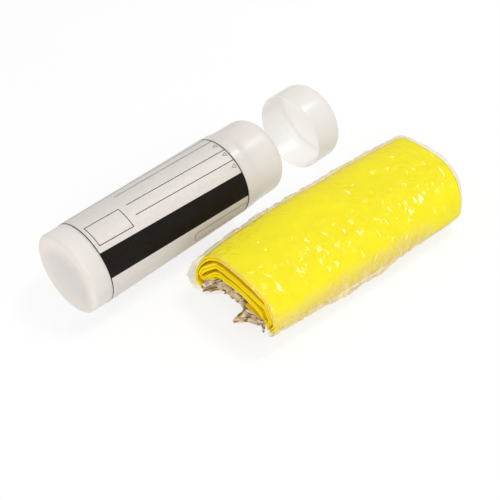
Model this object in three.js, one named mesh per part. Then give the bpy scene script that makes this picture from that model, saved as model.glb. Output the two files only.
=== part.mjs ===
// A synthetic chamois cloth as it is sold: folded once, rolled flat and wrapped in clear film, beside
// its storage tube and the tube's slip-on cap. Millimetres, +Z up, everything lies on the plane z = 0.
// The tube lies along X with its closed base at the low end of X and its mouth at the high end.

import * as THREE from 'three';

// Tube
const TUBE_RADIUS = 34;
const TUBE_LENGTH = 203;
const TUBE_WALL = 1.3;
const BASE_THICKNESS = 1.6;
const BASE_RECESS = 1.4;
const FOOT_WIDTH = 5;
const FOOT_SLOPE = 0.8;
const BASE_EDGE_RADIUS = 1.8;
const SHOULDER_RADIUS = 10.3;
const SHOULDER_TURN = THREE.MathUtils.degToRad(55);
const SEAT_LEAD = 9;

// Cap, flush with the tube when it is pushed home
const CAP_WALL = 0.8;
const CAP_CLEARANCE = 0.3;
const CAP_HEIGHT = 29.5;
const CAP_END_THICKNESS = 1.2;
const CAP_EDGE_RADIUS = 8.1;
const CAP_RIM_BEAD = 0.4;
const CAP_END_GAP = 0.8;
const CAP_STANDOFF = 39;

// Label round the tube, its seam turned to the floor
const LABEL_START = 16.4;
const LABEL_SEAT_MARGIN = 7.3;
const LABEL_THICKNESS = 0.3;
const LABEL_BOND = 0.2;
const LABEL_SEAM_FACETS = 8;

// Cloth, folded in half across its width and rolled along its length
const CLOTH_LENGTH = 660;
const CLOTH_WIDTH = 432;
const PLY_THICKNESS = 1.65;
const FOLD_GAP = 0.5;
const TURN_GAP = 0.5;
const CORE_HALF_WIDTH = 29.9;
const CORE_HALF_HEIGHT = 5.2;
const FIRST_BEND = 1.6;
const CLOTH_END_ANGLE = THREE.MathUtils.degToRad(-50);
const NEAR_SETBACK = 9;
const FAR_SETBACK = 14;

// Clear film round the roll, open at the near end and drawn together at the far end
const FILM_THICKNESS = 0.5;
const FILM_CLEARANCE = 0.4;
const FILM_OVERHANG = 3;
const FILM_END_DEPTH = 9;
const FILM_STEP_ANGLE = THREE.MathUtils.degToRad(45);
const FILM_CLOSING_ANGLE = THREE.MathUtils.degToRad(78);

// Crumpled end of the film, tucked into the hollow of the roll
const TAIL_SHORTFALL = 6;
const TAIL_OUTSIDE = 14;
const TAIL_CLEARANCE = 0.5;
const TAIL_SPREAD = 0.3;
const TAIL_DROOP = 15;
const TAIL_PLEATS = 9;
const TAIL_PLEAT_DEPTH = 0.3;
const TAIL_TAPER_ANGLE = THREE.MathUtils.degToRad(78);

// Where the roll's near end lies: from the tube's base along the tube, and clear of it to the side
const ROLL_ALONG = 85;
const ROLL_GAP = 12.8;
const ROLL_YAW = THREE.MathUtils.degToRad(-5);

// Fineness of the round forms
const FACETS = 64;
const FILLET_STEPS = 6;
const SHOULDER_STEPS = 8;
const TAIL_STEPS = 6;
const FOLD_STEPS = 4;
const STEPS_PER_TURN = 28;
const LENGTH_SAMPLES = 2000;
const HALVINGS = 40;
const GAP_SAMPLES = 12;

// Fits that follow from the sizes above
const SEAT_INSET = CAP_WALL + CAP_CLEARANCE;
const SEAT_RADIUS = TUBE_RADIUS - SEAT_INSET;
const CAP_DEPTH = CAP_HEIGHT - CAP_END_THICKNESS;
const SEAT_START = TUBE_LENGTH + CAP_END_GAP - CAP_DEPTH;
const LABEL_LENGTH = SEAT_START - SEAT_LEAD - LABEL_SEAT_MARGIN - LABEL_START;
const FOLDED_WIDTH = CLOTH_WIDTH / 2;
const HALF_STACK = PLY_THICKNESS + FOLD_GAP / 2;
const TURN_PITCH = 2 * HALF_STACK + TURN_GAP;
const TURN_STEP = (2 * Math.PI) / STEPS_PER_TURN;

function translucentPlastic() {
  return new THREE.MeshStandardMaterial({ color: 0xe9e4df, roughness: 0.42, metalness: 0 });
}

function labelPaper() {
  return new THREE.MeshStandardMaterial({ color: 0xe6ded6, roughness: 0.5, metalness: 0 });
}

function yellowCloth() {
  return new THREE.MeshStandardMaterial({ color: 0xf5e716, roughness: 0.85, metalness: 0 });
}

function clearFilm() {
  return new THREE.MeshStandardMaterial({ color: 0xf4f1ea, roughness: 0.15, metalness: 0 });
}

function named(name, geometry, material) {
  const mesh = new THREE.Mesh(geometry, material);
  mesh.name = name;
  return mesh;
}

// Points of an arc in a turned profile, as (radius, height), from one angle to another
function arcPoints(centreRadius, centreHeight, radius, from, to, steps) {
  const points = [];
  for (let i = 0; i <= steps; i += 1) {
    const angle = from + ((to - from) * i) / steps;
    const out = centreRadius + radius * Math.cos(angle);
    points.push(new THREE.Vector2(out, centreHeight + radius * Math.sin(angle)));
  }
  return points;
}

// A turned solid whose axis lies along X
function turned(profile) {
  return new THREE.LatheGeometry(profile, FACETS).rotateZ(-Math.PI / 2);
}

// Tube: recessed base inside a foot ring, straight wall, a soft lead down to the seat of the cap, and
// a shoulder that turns in to the mouth
function tubeGeometry() {
  const footInner = TUBE_RADIUS - FOOT_WIDTH;
  const edgeRadius = TUBE_RADIUS - BASE_EDGE_RADIUS;
  const lipMiddle = SHOULDER_RADIUS - TUBE_WALL / 2;
  const lipHeight = TUBE_LENGTH - TUBE_WALL / 2;
  const shoulderHeight = lipHeight - lipMiddle * Math.sin(SHOULDER_TURN);
  const shoulderRadius = SEAT_RADIUS - SHOULDER_RADIUS;
  const lipRadius = shoulderRadius + lipMiddle * Math.cos(SHOULDER_TURN);
  const floor = BASE_RECESS + BASE_THICKNESS;
  const bore = TUBE_RADIUS - TUBE_WALL;
  const lead = (share) => TUBE_RADIUS - SEAT_INSET * THREE.MathUtils.smoothstep(share, 0, 1);
  const outerLead = [];
  const innerLead = [];
  for (let i = 0; i <= FILLET_STEPS; i += 1) {
    const share = i / FILLET_STEPS;
    const height = SEAT_START - SEAT_LEAD * (1 - share);
    outerLead.push(new THREE.Vector2(lead(share), height));
    innerLead.unshift(new THREE.Vector2(lead(share) - TUBE_WALL, height));
  }
  const half = Math.PI / 2;
  return turned([
    new THREE.Vector2(0, BASE_RECESS),
    new THREE.Vector2(footInner - FOOT_SLOPE, BASE_RECESS),
    new THREE.Vector2(footInner, 0),
    ...arcPoints(edgeRadius, BASE_EDGE_RADIUS, BASE_EDGE_RADIUS, -half, 0, FILLET_STEPS),
    ...outerLead,
    ...arcPoints(shoulderRadius, shoulderHeight, SHOULDER_RADIUS, 0, SHOULDER_TURN, SHOULDER_STEPS),
    ...arcPoints(lipRadius, lipHeight, TUBE_WALL / 2, SHOULDER_TURN, SHOULDER_TURN + Math.PI,
      FILLET_STEPS).slice(1, -1),
    ...arcPoints(shoulderRadius, shoulderHeight, SHOULDER_RADIUS - TUBE_WALL, SHOULDER_TURN, 0,
      SHOULDER_STEPS),
    ...innerLead,
    ...arcPoints(bore - BASE_EDGE_RADIUS, floor + BASE_EDGE_RADIUS, BASE_EDGE_RADIUS, 0, -half,
      FILLET_STEPS),
    new THREE.Vector2(0, floor),
  ]);
}

// Cap: a short cup with a rounded end and a thin bead round its rim
function capGeometry() {
  const inner = TUBE_RADIUS - CAP_WALL;
  const innerEdge = CAP_EDGE_RADIUS - CAP_WALL;
  const edgeCentre = TUBE_RADIUS - CAP_EDGE_RADIUS;
  const half = Math.PI / 2;
  return turned([
    new THREE.Vector2(inner, CAP_RIM_BEAD),
    new THREE.Vector2(inner + CAP_RIM_BEAD / 2, 0),
    new THREE.Vector2(TUBE_RADIUS - CAP_RIM_BEAD / 2, 0),
    new THREE.Vector2(TUBE_RADIUS, CAP_RIM_BEAD),
    ...arcPoints(edgeCentre, CAP_HEIGHT - CAP_EDGE_RADIUS, CAP_EDGE_RADIUS, 0, half, SHOULDER_STEPS),
    new THREE.Vector2(0, CAP_HEIGHT),
    new THREE.Vector2(0, CAP_DEPTH),
    ...arcPoints(inner - innerEdge, CAP_DEPTH - innerEdge, innerEdge, half, 0, SHOULDER_STEPS),
    new THREE.Vector2(inner, CAP_RIM_BEAD),
  ]);
}

// Label: part of a ring round the tube, on the tube's own facets, open along a seam at the bottom. An arc
// of a shape gets two steps for each of its curve segments.
function labelGeometry() {
  const facet = (2 * Math.PI) / FACETS;
  const seam = (LABEL_SEAM_FACETS * facet) / 2;
  const start = -Math.PI / 2 + seam;
  const end = (3 * Math.PI) / 2 - seam;
  const inner = TUBE_RADIUS + LABEL_BOND;
  const outer = inner + LABEL_THICKNESS;
  const shape = new THREE.Shape();
  shape.absarc(0, 0, outer, start, end, false);
  shape.lineTo(inner * Math.cos(end), inner * Math.sin(end));
  shape.absarc(0, 0, inner, end, start, true);
  const geometry = new THREE.ExtrudeGeometry(shape, {
    depth: LABEL_LENGTH,
    bevelEnabled: false,
    curveSegments: (FACETS - LABEL_SEAM_FACETS) / 2,
  });
  const alongX = new THREE.Matrix4().makeBasis(
    new THREE.Vector3(0, 1, 0),
    new THREE.Vector3(0, 0, 1),
    new THREE.Vector3(1, 0, 0),
  );
  return geometry.applyMatrix4(alongX);
}

// Joins a row of closed rings, each a list of points, into one solid and closes its two ends
function loft(rings, endOutline) {
  const count = rings[0].length;
  const positions = rings.flat().flatMap((point) => [point.x, point.y, point.z]);
  const triangles = [];
  for (let row = 0; row < rings.length - 1; row += 1) {
    for (let i = 0; i < count; i += 1) {
      const a = row * count + i;
      const b = row * count + ((i + 1) % count);
      triangles.push([a, b, b + count], [a, b + count, a + count]);
    }
  }
  const last = (rings.length - 1) * count;
  const clockwise = THREE.ShapeUtils.isClockWise(endOutline);
  for (const face of THREE.ShapeUtils.triangulateShape(endOutline, [])) {
    const [a, b, c] = clockwise ? face.reverse() : face;
    triangles.push([c, b, a], [a + last, b + last, c + last]);
  }
  const all = rings.flat();
  let volume = 0;
  for (const [a, b, c] of triangles) {
    volume += all[a].dot(new THREE.Vector3().crossVectors(all[b], all[c]));
  }
  const index = triangles.flatMap(([a, b, c]) => (volume > 0 ? [a, b, c] : [a, c, b]));
  const geometry = new THREE.BufferGeometry();
  geometry.setAttribute('position', new THREE.Float32BufferAttribute(positions, 3));
  geometry.setIndex(index);
  geometry.computeVertexNormals();
  return geometry;
}

// Point of the roll's section at a given direction of its surface, a given distance out from the flat
// oval core. Every turn is parallel to every other, so the gap between turns is the same all round.
function ovalPoint(angle, out) {
  const across = CORE_HALF_WIDTH * Math.cos(angle);
  const up = CORE_HALF_HEIGHT * Math.sin(angle);
  const reach = Math.hypot(across, up);
  return new THREE.Vector2(
    (CORE_HALF_WIDTH * across) / reach + out * Math.cos(angle),
    (CORE_HALF_HEIGHT * up) / reach + out * Math.sin(angle),
  );
}

function spiralOut(wound) {
  return FIRST_BEND + (TURN_PITCH * wound) / (2 * Math.PI);
}

// Length of the rolled cloth after a given angle of winding from its inner end
function woundLength(total) {
  let length = 0;
  let before = ovalPoint(CLOTH_END_ANGLE - total, spiralOut(0));
  for (let i = 1; i <= LENGTH_SAMPLES; i += 1) {
    const wound = (total * i) / LENGTH_SAMPLES;
    const after = ovalPoint(CLOTH_END_ANGLE - total + wound, spiralOut(wound));
    length += after.distanceTo(before);
    before = after;
  }
  return length;
}

// Angle of winding that uses up the cloth, found by halving
function windingAngle() {
  let low = 0;
  let high = (2 * Math.PI * CLOTH_LENGTH) / (4 * (CORE_HALF_WIDTH + FIRST_BEND));
  for (let i = 0; i < HALVINGS; i += 1) {
    const middle = (low + high) / 2;
    if (woundLength(middle) < CLOTH_LENGTH) {
      low = middle;
    } else {
      high = middle;
    }
  }
  return (low + high) / 2;
}

const WINDING = windingAngle();
const LAST_OUT = spiralOut(WINDING);

// How far out the outermost turn lies in a given direction, counted back from the cloth's outer end
function outermost(back) {
  return LAST_OUT - (TURN_PITCH * back) / (2 * Math.PI);
}

// The film follows the outermost turn and comes down softly behind the step at the cloth's outer end
function filmOut(back) {
  const past = 2 * Math.PI - back;
  const drop = Math.min(1, past / FILM_STEP_ANGLE);
  const onCloth = outermost(back);
  return THREE.MathUtils.lerp(Math.max(onCloth, LAST_OUT), onCloth, drop) + HALF_STACK + FILM_CLEARANCE;
}

// Directions of the winding from the inner end to the outer end, on the same steps in every turn
function windingSteps() {
  const backs = [];
  for (let i = Math.ceil(WINDING / TURN_STEP); i >= 0; i -= 1) {
    backs.push(i * TURN_STEP);
  }
  return backs;
}

// Point of the folded cloth at a step of the winding, on a given side of the middle of its two plies.
// The first step is cut short where the cloth begins.
function clothPoint(back, side) {
  const at = (turn) => ovalPoint(CLOTH_END_ANGLE - turn, outermost(turn) + side);
  if (back <= WINDING) {
    return at(back);
  }
  return at(back - TURN_STEP).lerp(at(back), (WINDING - back + TURN_STEP) / TURN_STEP);
}

// How far the film reaches from the middle of the roll in a given direction of the section
function filmReach(across, up) {
  const direction = new THREE.Vector2(across, up);
  let reach = 0;
  for (let i = 0; i < STEPS_PER_TURN; i += 1) {
    const back = i * TURN_STEP;
    const place = ovalPoint(CLOTH_END_ANGLE - back, filmOut(back) + FILM_THICKNESS);
    reach = Math.max(reach, place.dot(direction));
  }
  return reach;
}

const ROLL_MIDDLE = filmReach(0, -1);
const ROLL_FRONT = filmReach(-1, 0);
const ROLL_ASIDE = TUBE_RADIUS + ROLL_GAP + filmReach(1, 0);

// Point of the roll at a distance along it and a place in its section. The ends are pushed out of true:
// the lower turns stand back at the near end, and the front of the roll stands back at the far end.
function rollPoint(along, place) {
  const share = along / FOLDED_WIDTH;
  const low = Math.max(0, -place.y / ROLL_MIDDLE);
  const front = Math.max(0, -place.x / ROLL_FRONT);
  const setback = NEAR_SETBACK * low * (1 - share) - FAR_SETBACK * front * front * share;
  return new THREE.Vector3(along + setback, place.x, ROLL_MIDDLE + place.y);
}

// Section of the folded cloth, as (distance from the near end, distance out from the middle of the
// two plies): a long hairpin whose bend is the fold at the near end
function hairpin() {
  const inside = FOLD_GAP / 2;
  const bend = arcPoints(0, 0, HALF_STACK, Math.PI / 2, (3 * Math.PI) / 2, FOLD_STEPS);
  return [
    new THREE.Vector2(FOLDED_WIDTH, HALF_STACK),
    ...bend.map((point) => new THREE.Vector2(HALF_STACK + point.x, point.y)),
    new THREE.Vector2(FOLDED_WIDTH, -HALF_STACK),
    new THREE.Vector2(FOLDED_WIDTH, -inside),
    new THREE.Vector2(HALF_STACK, -inside),
    new THREE.Vector2(HALF_STACK, inside),
    new THREE.Vector2(FOLDED_WIDTH, inside),
  ];
}

function clothGeometry() {
  const section = hairpin();
  const rings = windingSteps().map((back) => section.map(
    (point) => rollPoint(point.x, clothPoint(back, point.y)),
  ));
  return loft(rings, section);
}

// Least distance between one turn's outer face and the next turn's inner face, on points along both
function leastTurnGap() {
  const points = [];
  const backs = windingSteps();
  for (let i = 0; i < backs.length - 1; i += 1) {
    const between = (side, share) => clothPoint(backs[i], side).lerp(clothPoint(backs[i + 1], side), share);
    for (let j = 0; j < GAP_SAMPLES; j += 1) {
      const share = j / GAP_SAMPLES;
      points.push({ back: backs[i], outer: between(HALF_STACK, share), inner: between(-HALF_STACK, share) });
    }
  }
  let least = Infinity;
  for (const one of points) {
    for (const other of points) {
      if (one.back - other.back > Math.PI) {
        least = Math.min(least, one.outer.distanceTo(other.inner));
      }
    }
  }
  return least;
}

// One ring of the film sleeve at a given distance along the roll, drawn in by a given share
function filmRing(along, thickness, draw) {
  const ring = [];
  for (let i = 0; i < STEPS_PER_TURN; i += 1) {
    const back = i * TURN_STEP;
    const place = ovalPoint(CLOTH_END_ANGLE - back, filmOut(back) + thickness);
    ring.push(rollPoint(along, place.multiplyScalar(draw)));
  }
  return ring;
}

// Sleeve with a rounded far end, as one skin outside and one inside
function wrapperGeometry() {
  const clothEnd = FOLDED_WIDTH + FILM_CLEARANCE;
  const skin = (thickness, depth) => {
    const rings = [filmRing(-FILM_OVERHANG, thickness, 1), filmRing(clothEnd, thickness, 1)];
    for (let i = 1; i <= FILLET_STEPS; i += 1) {
      const angle = (i / FILLET_STEPS) * FILM_CLOSING_ANGLE;
      rings.push(filmRing(clothEnd + depth * Math.sin(angle), thickness, Math.cos(angle)));
    }
    return rings;
  };
  const outside = skin(FILM_THICKNESS, FILM_END_DEPTH + FILM_THICKNESS);
  const inside = skin(0, FILM_END_DEPTH);
  const rings = [...outside.reverse(), ...inside];
  return loft(rings, rings[0].map((point) => new THREE.Vector2(point.y, point.z)));
}

// Point just inside the innermost turn in a given direction. The turn is followed back a little past the
// inner end of the cloth, so that this end stays clear.
function hollowPoint(angle) {
  const last = CLOTH_END_ANGLE - angle;
  const turns = Math.floor((WINDING + 2 * TURN_STEP - last) / (2 * Math.PI));
  const back = last + turns * 2 * Math.PI;
  return ovalPoint(angle, outermost(back) - HALF_STACK - TAIL_CLEARANCE);
}

// Crumpled tail: a wad that fills the hollow of the roll, and outside it spreads, pleats and droops
function tailGeometry() {
  const ring = (along, size, share) => {
    const points = [];
    for (let i = 0; i < STEPS_PER_TURN; i += 1) {
      const angle = CLOTH_END_ANGLE + i * TURN_STEP;
      const pleat = 1 - TAIL_PLEAT_DEPTH * Math.sin(Math.PI * share) * (1 + Math.cos(TAIL_PLEATS * angle));
      const place = hollowPoint(angle).multiplyScalar(size * pleat);
      const droop = TAIL_DROOP * share * share;
      points.push(new THREE.Vector3(along, place.x, ROLL_MIDDLE + place.y - droop));
    }
    return points;
  };
  const rings = [ring(FOLDED_WIDTH - TAIL_SHORTFALL, 1, 0), ring(0, 1, 0)];
  for (let i = 1; i <= TAIL_STEPS; i += 1) {
    const share = i / TAIL_STEPS;
    const spread = 1 + TAIL_SPREAD * Math.sin(Math.PI * share);
    const taper = Math.cos(share * TAIL_TAPER_ANGLE);
    rings.push(ring(-TAIL_OUTSIDE * share, spread * taper, share));
  }
  return loft(rings, rings[0].map((point) => new THREE.Vector2(point.y, point.z)));
}

// Tube and its label on one axis
const tubeGroup = new THREE.Group();
tubeGroup.position.z = TUBE_RADIUS;
tubeGroup.add(named('tube_body', tubeGeometry(), translucentPlastic()));
const label = named('label', labelGeometry(), labelPaper());
label.position.x = LABEL_START;
tubeGroup.add(label);

// Cap taken off, in line with the mouth
const cap = named('cap', capGeometry(), translucentPlastic());
cap.position.x = TUBE_LENGTH + CAP_STANDOFF;
tubeGroup.add(cap);

// Rolled cloth in its film
const roll = new THREE.Group();
roll.position.set(ROLL_ALONG, -ROLL_ASIDE, 0);
roll.rotation.z = ROLL_YAW;
roll.add(named('cloth_roll', clothGeometry(), yellowCloth()));
roll.add(named('film_wrapper', wrapperGeometry(), clearFilm()));
roll.add(named('film_tail', tailGeometry(), clearFilm()));

// The whole set, centred over the middle of the floor that it covers
const assembly = new THREE.Group();
assembly.add(tubeGroup, roll);
assembly.updateMatrixWorld(true);
const covered = new THREE.Box3().setFromObject(assembly, true);
const middle = covered.getCenter(new THREE.Vector3());
assembly.position.set(-middle.x, -middle.y, -covered.min.z);
assembly.updateMatrixWorld(true);

console.log(`turns of the roll: ${(WINDING / (2 * Math.PI)).toFixed(2)}`);
console.log(`least gap between turns: ${leastTurnGap().toFixed(3)} mm`);

export default assembly;
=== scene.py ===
import bisect
import math
import random

import bpy
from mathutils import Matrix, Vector, noise


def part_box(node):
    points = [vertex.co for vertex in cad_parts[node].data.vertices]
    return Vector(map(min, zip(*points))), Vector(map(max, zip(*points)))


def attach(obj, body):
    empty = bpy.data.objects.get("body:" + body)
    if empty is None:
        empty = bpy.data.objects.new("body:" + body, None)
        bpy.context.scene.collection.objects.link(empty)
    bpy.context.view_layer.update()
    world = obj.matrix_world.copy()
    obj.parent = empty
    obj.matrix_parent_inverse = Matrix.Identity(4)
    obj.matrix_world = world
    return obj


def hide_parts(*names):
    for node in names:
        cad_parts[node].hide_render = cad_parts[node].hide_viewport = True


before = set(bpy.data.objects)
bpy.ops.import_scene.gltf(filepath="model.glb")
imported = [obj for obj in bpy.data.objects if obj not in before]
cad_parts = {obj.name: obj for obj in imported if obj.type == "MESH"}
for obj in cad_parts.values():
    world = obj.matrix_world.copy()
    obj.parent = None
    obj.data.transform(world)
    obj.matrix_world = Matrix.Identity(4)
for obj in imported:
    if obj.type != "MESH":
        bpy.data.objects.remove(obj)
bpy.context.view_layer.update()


# Storage tube: blown in natural polyethylene, so the wall is milky and lets light through. Its closed
# base stands in a shallow recess, and a shoulder at the other end narrows it to the mouth.
MM = 0.001
tube_low, tube_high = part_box("tube_body")
TUBE_RADIUS = (tube_high.z - tube_low.z) / 2
TUBE_LENGTH = tube_high.x - tube_low.x
TUBE_AXIS = Vector((tube_low.x, (tube_low.y + tube_high.y) / 2, TUBE_RADIUS))
TUBE_WALL = 1.3 * MM
BASE_RECESS = 1.4 * MM
BASE_THICKNESS = 1.6 * MM
FOOT_WIDTH = 5 * MM
DISH_WIDTH = 9 * MM
BASE_EDGE_RADIUS = 3 * MM
TUBE_GLOW = 0.38
SEAT_INSET = 1.1 * MM
SEAT_START = 175.5 * MM
SEAT_LEAD = 9 * MM
SHOULDER_RADIUS = 10.3 * MM
SHOULDER_TURN = math.radians(55)
ROUND_STEPS = 192
EDGE_STEPS = 8


def arc(centre_radius, centre_height, radius, start, end, steps=EDGE_STEPS):
    """Points of an arc in a turned profile, as (radius, height)."""
    points = []
    for i in range(steps + 1):
        angle = start + (end - start) * i / steps
        across, up = radius * math.cos(angle), radius * math.sin(angle)
        points.append((centre_radius + across, centre_height + up))
    return points


def ease(share):
    """Soft step from 0 to 1."""
    share = min(1, max(0, share))
    return share * share * (3 - 2 * share)


def mesh_object(name, points, faces, smooth=True):
    """New object of a mesh given by points and faces, in the row frame."""
    mesh = bpy.data.meshes.new(name)
    mesh.from_pydata(points, [], faces)
    mesh.update()
    mesh.polygons.foreach_set("use_smooth", [smooth] * len(mesh.polygons))
    made = bpy.data.objects.new(name, mesh)
    bpy.context.scene.collection.objects.link(made)
    return made


def turned(name, profile, start):
    """Solid turned about an axis along X, from a profile that begins and ends on that axis."""
    rows = []
    points = []
    for radius, height in profile:
        if radius < 1e-9:
            rows.append([len(points)] * ROUND_STEPS)
            points.append((start.x + height, start.y, start.z))
            continue
        rows.append(list(range(len(points), len(points) + ROUND_STEPS)))
        for i in range(ROUND_STEPS):
            angle = 2 * math.pi * i / ROUND_STEPS
            across, up = radius * math.cos(angle), radius * math.sin(angle)
            points.append((start.x + height, start.y + across, start.z + up))
    faces = []
    for low, high in zip(rows, rows[1:]):
        for i in range(ROUND_STEPS):
            j = (i + 1) % ROUND_STEPS
            corners = [low[i], low[j], high[j], high[i]]
            faces.append(list(dict.fromkeys(corners)))
    return mesh_object(name, points, faces)


def tube_profile():
    """Half section of the tube, from the middle of its base outwards, over the lip and back inside."""
    half = math.pi / 2
    seat = TUBE_RADIUS - SEAT_INSET
    lip = TUBE_WALL / 2
    shoulder_radius = seat - SHOULDER_RADIUS
    lip_height = TUBE_LENGTH - lip
    shoulder_height = lip_height - (SHOULDER_RADIUS - lip) * math.sin(SHOULDER_TURN)
    lip_radius = shoulder_radius + (SHOULDER_RADIUS - lip) * math.cos(SHOULDER_TURN)
    foot_inner = TUBE_RADIUS - FOOT_WIDTH
    floor = BASE_RECESS + BASE_THICKNESS
    bore = TUBE_RADIUS - TUBE_WALL
    lead = [i / EDGE_STEPS for i in range(EDGE_STEPS + 1)]
    outer_lead = [(TUBE_RADIUS - SEAT_INSET * ease(s), SEAT_START - SEAT_LEAD * (1 - s)) for s in lead]
    inner_lead = [(radius - TUBE_WALL, height) for radius, height in reversed(outer_lead)]
    return [
        (0, BASE_RECESS),
        *[(foot_inner - DISH_WIDTH * (1 - s), BASE_RECESS * (1 - ease(s))) for s in lead],
        *arc(TUBE_RADIUS - BASE_EDGE_RADIUS, BASE_EDGE_RADIUS, BASE_EDGE_RADIUS, -half, 0),
        *outer_lead,
        *arc(shoulder_radius, shoulder_height, SHOULDER_RADIUS, 0, SHOULDER_TURN),
        *arc(lip_radius, lip_height, lip, SHOULDER_TURN, SHOULDER_TURN + math.pi)[1:-1],
        *arc(shoulder_radius, shoulder_height, SHOULDER_RADIUS - TUBE_WALL, SHOULDER_TURN, 0),
        *inner_lead,
        *arc(bore - BASE_EDGE_RADIUS, floor + BASE_EDGE_RADIUS, BASE_EDGE_RADIUS, 0, -half),
        (0, floor),
    ]


def new_material(name):
    """Empty node material: the material, its nodes, its links and its surface shader."""
    made = bpy.data.materials.new(name)
    made.use_nodes = True
    tree = made.node_tree
    return made, tree.nodes, tree.links, tree.nodes["Principled BSDF"]


def noise_texture(nodes, links, scale, detail=3.0, stretch=None):
    """Noise in the object's own space, with a size in metres for one of its lumps."""
    place = nodes.new("ShaderNodeTexCoord")
    texture = nodes.new("ShaderNodeTexNoise")
    texture.inputs["Scale"].default_value = 1 / scale
    texture.inputs["Detail"].default_value = detail
    source = place.outputs["Object"]
    if stretch:
        mapping = nodes.new("ShaderNodeMapping")
        mapping.inputs["Scale"].default_value = stretch
        links.new(source, mapping.inputs["Vector"])
        source = mapping.outputs["Vector"]
    links.new(source, texture.inputs["Vector"])
    return texture.outputs["Fac"]


def ramp(nodes, links, source, stops):
    """Colour ramp over a texture, from (position, colour) stops."""
    made = nodes.new("ShaderNodeValToRGB")
    while len(made.color_ramp.elements) < len(stops):
        made.color_ramp.elements.new(1)
    for element, (position, colour) in zip(made.color_ramp.elements, stops):
        element.position = position
        element.color = colour
    links.new(source, made.inputs["Fac"])
    return made.outputs["Color"]


def bump(nodes, links, height, distance, strength=1.0, below=None):
    """Bump from a height texture, laid over another bump if one is given."""
    made = nodes.new("ShaderNodeBump")
    made.inputs["Strength"].default_value = strength
    made.inputs["Distance"].default_value = distance
    links.new(height, made.inputs["Height"])
    if below:
        links.new(below, made.inputs["Normal"])
    return made.outputs["Normal"]


def spread(nodes, links, source, low, high):
    """A texture's 0 to 1 carried to another range."""
    made = nodes.new("ShaderNodeMapRange")
    made.inputs["To Min"].default_value = low
    made.inputs["To Max"].default_value = high
    links.new(source, made.inputs["Value"])
    return made.outputs["Result"]


def larger(nodes, links, first, second):
    """The larger of two values."""
    made = nodes.new("ShaderNodeMath")
    made.operation = "MAXIMUM"
    links.new(first, made.inputs[0])
    links.new(second, made.inputs[1])
    return made.outputs["Value"]


def mixed(nodes, links, share, first, second):
    """Two shaders in one, with the share of the second one from a texture or a number."""
    made = nodes.new("ShaderNodeMixShader")
    if isinstance(share, float):
        made.inputs["Fac"].default_value = share
    else:
        links.new(share, made.inputs["Fac"])
    links.new(first, made.inputs[1])
    links.new(second, made.inputs[2])
    return made.outputs["Shader"]


def lit_through(nodes, links, surface, share):
    """Finish a material whose thin wall lets a share of the light pass to what lies behind it."""
    path = nodes.new("ShaderNodeLightPath")
    clear = nodes.new("ShaderNodeBsdfTransparent")
    light = larger(nodes, links, path.outputs["Is Shadow Ray"], path.outputs["Is Diffuse Ray"])
    passing = spread(nodes, links, light, 0.0, share)
    whole = mixed(nodes, links, passing, surface, clear.outputs["BSDF"])
    links.new(whole, nodes["Material Output"].inputs["Surface"])


def milky_plastic(name, low, high):
    """Frosted natural polyethylene: cloudy, streaked where it flowed, satin, with light in its wall."""
    made, nodes, links, shader = new_material(name)
    clouds = noise_texture(nodes, links, 26 * MM, 2.0, (0.35, 1, 1))
    tint = ramp(nodes, links, clouds, [(0.3, low), (0.7, high)])
    links.new(tint, shader.inputs["Base Color"])
    skin = noise_texture(nodes, links, 0.7 * MM, 3.0)
    streaks = noise_texture(nodes, links, 9 * MM, 2.0, (0.2, 1, 1))
    links.new(spread(nodes, links, streaks, 0.34, 0.5), shader.inputs["Roughness"])
    coarse = bump(nodes, links, streaks, 0.25 * MM, 0.5)
    links.new(bump(nodes, links, skin, 0.03 * MM, 0.6, coarse), shader.inputs["Normal"])
    shader.inputs["IOR"].default_value = 1.51
    shader.inputs["Subsurface Weight"].default_value = 1.0
    shader.inputs["Subsurface Radius"].default_value = (1.0, 0.95, 0.9)
    shader.inputs["Subsurface Scale"].default_value = 6 * MM
    shader.inputs["Specular IOR Level"].default_value = 0.35
    shader.inputs["Coat Weight"].default_value = 0.4
    shader.inputs["Coat Roughness"].default_value = 0.22
    glow = nodes.new("ShaderNodeBsdfTranslucent")
    links.new(tint, glow.inputs["Color"])
    wall = mixed(nodes, links, TUBE_GLOW, shader.outputs["BSDF"], glow.outputs["BSDF"])
    lit_through(nodes, links, wall, 1.0)
    return made


tube = turned("storage_tube", tube_profile(), TUBE_AXIS)
# Painted shade: the tube's copy of the plastic is a little darker than the cap's, standing in for the
# less light that passes its thicker wall.
tube_plastic = milky_plastic("milky_plastic_tube", (0.93, 0.815, 0.755, 1), (0.97, 0.86, 0.8, 1))
tube.data.materials.append(tube_plastic)
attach(tube, "tube")
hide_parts("tube_body")


# Label: coated white paper, glued round the tube with a gap left underneath. It carries a broad black
# band, thin rules, an outlined box and a long rounded frame, printed in black and a little askew.
label_low, label_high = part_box("label")
LABEL_RADIUS = TUBE_RADIUS + 0.15 * MM
LABEL_THICKNESS = 0.12 * MM
LABEL_START_ANGLE = math.radians(-62)
LABEL_TURN = math.radians(314)
LABEL_SKEW = math.radians(10)
LABEL_STEPS = 157
LABEL_COLUMNS = 36
PAPER_LIFT = 0.05 * MM
PAPER_RIPPLE = 0.05 * MM
RIPPLE_SIZE = 14 * MM
PAPER_PASSES = 0.6
INK_LIFT = LABEL_THICKNESS + 0.11 * MM
PRINT_ROUND = (math.radians(0), math.radians(205))
RULE_WIDTH = 0.6 * MM
EDGE_LINE_WIDTH = 0.8 * MM
BULLET_LINE_WIDTH = 0.35 * MM
FRAME_LINE_WIDTH = 0.4 * MM
FRAME_CORNER = 3.2 * MM
LINE_STEP = 1.2 * MM
BAND = (math.radians(131), math.radians(166.5))
RULES = [math.radians(angle) for angle in (52, 67, 92.4, 111)]
RULE_START = 60 * MM
BOX_ALONG = (21.2 * MM, 52.6 * MM)
BOX_ROUND = (math.radians(92), math.radians(122.5))
BULLETS = [math.radians(angle) for angle in (80, 99, 119)]
BULLET_ALONG = 154.2 * MM
BULLET_SIZE = 3.2 * MM
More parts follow.
